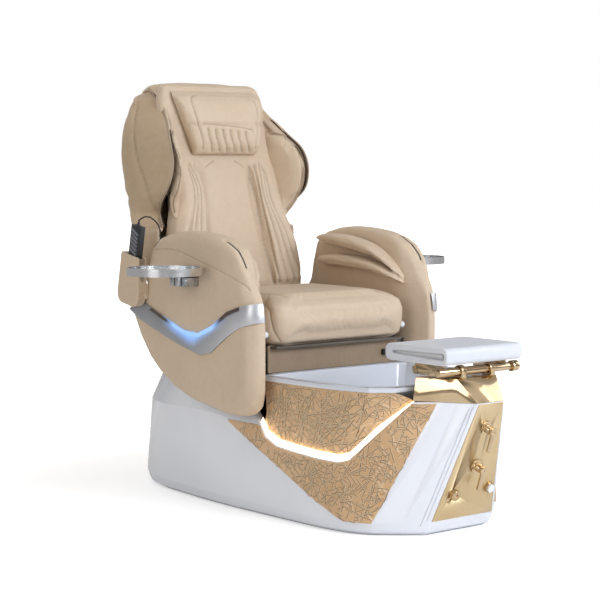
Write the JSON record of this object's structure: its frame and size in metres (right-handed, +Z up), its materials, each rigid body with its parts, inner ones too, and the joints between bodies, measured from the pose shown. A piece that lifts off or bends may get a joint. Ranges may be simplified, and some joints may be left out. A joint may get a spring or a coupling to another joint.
{
  "type": "pedicure chair",
  "caption": "Massage spa chair on a moulded base with a foot basin, a front control panel, a tilting footrest, swivel trays and a reclining padded back.",
  "frame": {"origin": "centre of the floor face, on the plane of symmetry of the base, below the seat", "axes": "+Z up, -Y towards the front where the sitter faces, +X towards the sitter's left"},
  "size_m": [1.332, 1.5855, 1.4182],
  "materials": {
    "zinc_steel": "satin zinc",
    "black_steel": "satin black",
    "white_gloss": "gloss moulded acrylic",
    "white_deck": "satin white",
    "tan_leather": "embossed crosshatch, satin",
    "warm_led": "translucent, lit warm white",
    "blue_led": "translucent with dark brown ends, lit blue in the middle",
    "chrome": "polished",
    "black_plastic": "satin",
    "grey_plastic": "satin",
    "white_plastic": "gloss",
    "gold_satin": "satin champagne gold",
    "gold_polished": "polished champagne gold",
    "white_leather": "smooth upholstered",
    "beige_leather": "soft pebbled upholstery",
    "brown_leather": "soft pebbled upholstery, darker",
    "silver_trim": "satin silver",
    "brushed_tray": "brushed",
    "tray_glass": "clear",
    "black_rubber": "matte"
  },
  "bodies": {
    "base": {"floor_pan": "zinc_steel", "base_frame": "black_steel", "base_shell": "white_gloss", "side_panels": "tan_leather", "basin_skirts": "tan_leather", "basin_lights": "warm_led", "basin": "white_gloss", "basin_drain": "chrome", "jet_cover": "white_gloss", "jet_motor": "black_plastic", "front_panel": "gold_satin", "front_cap": "gold_polished", "valve_bodies": "gold_polished", "button_bezel": "gold_polished", "footrest_mount": "gold_polished", "seat_rails": "zinc_steel", "rear_deck": "white_deck", "service_plate": "black_plastic", "service_fittings": "grey_plastic"},
    "impeller": {"jet_impeller": "white_plastic"},
    "upper_lever": {"upper_valve_lever": "gold_polished"},
    "lower_lever": {"lower_valve_lever": "gold_polished"},
    "drain": {"drain_knob": "gold_polished"},
    "button": {"jet_button": "white_plastic"},
    "footrest": {"footrest_arm": "gold_satin", "footrest_pad": "white_leather"},
    "clamp": {"clamp_knob": "gold_polished"},
    "seat": {"seat_carriage": "black_steel", "seat_cushion": "beige_leather", "seat_apron": "beige_leather", "recline_motor": "black_plastic", "arm_left": "beige_leather", "arm_right": "beige_leather", "arm_trims": "silver_trim", "arm_lights": "blue_led", "arm_pads_left": "beige_leather", "arm_pads_right": "beige_leather", "tray_brackets": "zinc_steel", "remote_pocket": "beige_leather", "remote_body": "black_plastic", "remote_cord": "black_rubber", "cord_gland": "black_rubber"},
    "left_tray": {"tray_ring_left": "brushed_tray", "tray_glass_left": "tray_glass"},
    "right_tray": {"tray_ring_right": "brushed_tray", "tray_glass_right": "tray_glass"},
    "key_1": {"remote_key_1": "grey_plastic"},
    "key_2": {"remote_key_2": "grey_plastic"},
    "key_3": {"remote_key_3": "grey_plastic"},
    "key_4": {"remote_key_4": "grey_plastic"},
    "key_5": {"remote_key_5": "grey_plastic"},
    "key_6": {"remote_key_6": "grey_plastic"},
    "backrest": {"back_frame": "black_steel", "back_shell": "brown_leather", "side_wings": "brown_leather", "wing_pads": "beige_leather", "back_cushion": "beige_leather"},
    "pillow": {"head_pillow": "beige_leather"},
    "massage_unit": {"massage_carriage": "black_steel"},
    "rollers": {"massage_rollers": "white_plastic"}
  },
  "joints": [
    {"name": "seat_slide", "type": "slide", "parent": "base", "child": "seat", "axis": [0, 1, 0], "range_m": [-0.09, 0.06]},
    {"name": "back_recline", "type": "hinge", "parent": "seat", "child": "backrest", "pos_m": [0, 0.31838, 0.56608], "axis": [-1, 0, 0], "range_deg": [-5, 25]},
    {"name": "pillow_lift", "type": "hinge", "parent": "backrest", "child": "pillow", "pos_m": [0, 0.45895, 1.37995], "axis": [-1, 0, 0], "range_deg": [0, 95]},
    {"name": "massage_travel", "type": "slide", "parent": "backrest", "child": "massage_unit", "axis": [0, 0.2419, 0.9703], "range_m": [-0.125, 0.25]},
    {"name": "roller_spin", "type": "hinge", "parent": "massage_unit", "child": "rollers", "pos_m": [0, 0.42634, 0.89988], "axis": [1, 0, 0], "continuous": true},
    {"name": "left_tray_swivel", "type": "hinge", "parent": "seat", "child": "left_tray", "pos_m": [0.456, 0.045, 0.77], "axis": [0, 0, 1], "range_deg": [-5, 50]},
    {"name": "right_tray_swivel", "type": "hinge", "parent": "seat", "child": "right_tray", "pos_m": [-0.456, 0.045, 0.77], "axis": [0, 0, -1], "range_deg": [-5, 50]},
    {"name": "footrest_tilt", "type": "hinge", "parent": "base", "child": "footrest", "pos_m": [0, -0.84747, 0.50795], "axis": [1, 0, 0], "range_deg": [-3, 45]},
    {"name": "clamp_turn", "type": "hinge", "parent": "footrest", "child": "clamp", "pos_m": [0.158, -0.84747, 0.50795], "axis": [1, 0, 0], "range_deg": [-90, 90]},
    {"name": "upper_valve", "type": "hinge", "parent": "base", "child": "upper_lever", "pos_m": [0, -0.92558, 0.32565], "axis": [0, -0.9495, -0.3137], "range_deg": [-45, 45]},
    {"name": "lower_valve", "type": "hinge", "parent": "base", "child": "lower_lever", "pos_m": [0, -0.88492, 0.20258], "axis": [0, -0.9495, -0.3137], "range_deg": [-45, 45]},
    {"name": "drain_turn", "type": "hinge", "parent": "base", "child": "drain", "pos_m": [-0.072, -0.83848, 0.12898], "axis": [0, -0.9495, -0.3137], "range_deg": [0, 90]},
    {"name": "jet_press", "type": "slide", "parent": "base", "child": "button", "axis": [0, 0.9495, 0.3137], "range_m": [0, 0.003], "stiffness_N_per_m": 400},
    {"name": "impeller_spin", "type": "hinge", "parent": "base", "child": "impeller", "pos_m": [0, -0.24642, 0.35036], "axis": [0, -0.9659, 0.2588], "continuous": true},
    {"name": "key_1_press", "type": "slide", "parent": "seat", "child": "key_1", "axis": [1, 0, 0], "range_m": [0, 0.001], "stiffness_N_per_m": 500},
    {"name": "key_2_press", "type": "slide", "parent": "seat", "child": "key_2", "axis": [1, 0, 0], "range_m": [0, 0.001], "stiffness_N_per_m": 500},
    {"name": "key_3_press", "type": "slide", "parent": "seat", "child": "key_3", "axis": [1, 0, 0], "range_m": [0, 0.001], "stiffness_N_per_m": 500},
    {"name": "key_4_press", "type": "slide", "parent": "seat", "child": "key_4", "axis": [1, 0, 0], "range_m": [0, 0.001], "stiffness_N_per_m": 500},
    {"name": "key_5_press", "type": "slide", "parent": "seat", "child": "key_5", "axis": [1, 0, 0], "range_m": [0, 0.001], "stiffness_N_per_m": 500},
    {"name": "key_6_press", "type": "slide", "parent": "seat", "child": "key_6", "axis": [1, 0, 0], "range_m": [0, 0.001], "stiffness_N_per_m": 500}
  ]
}
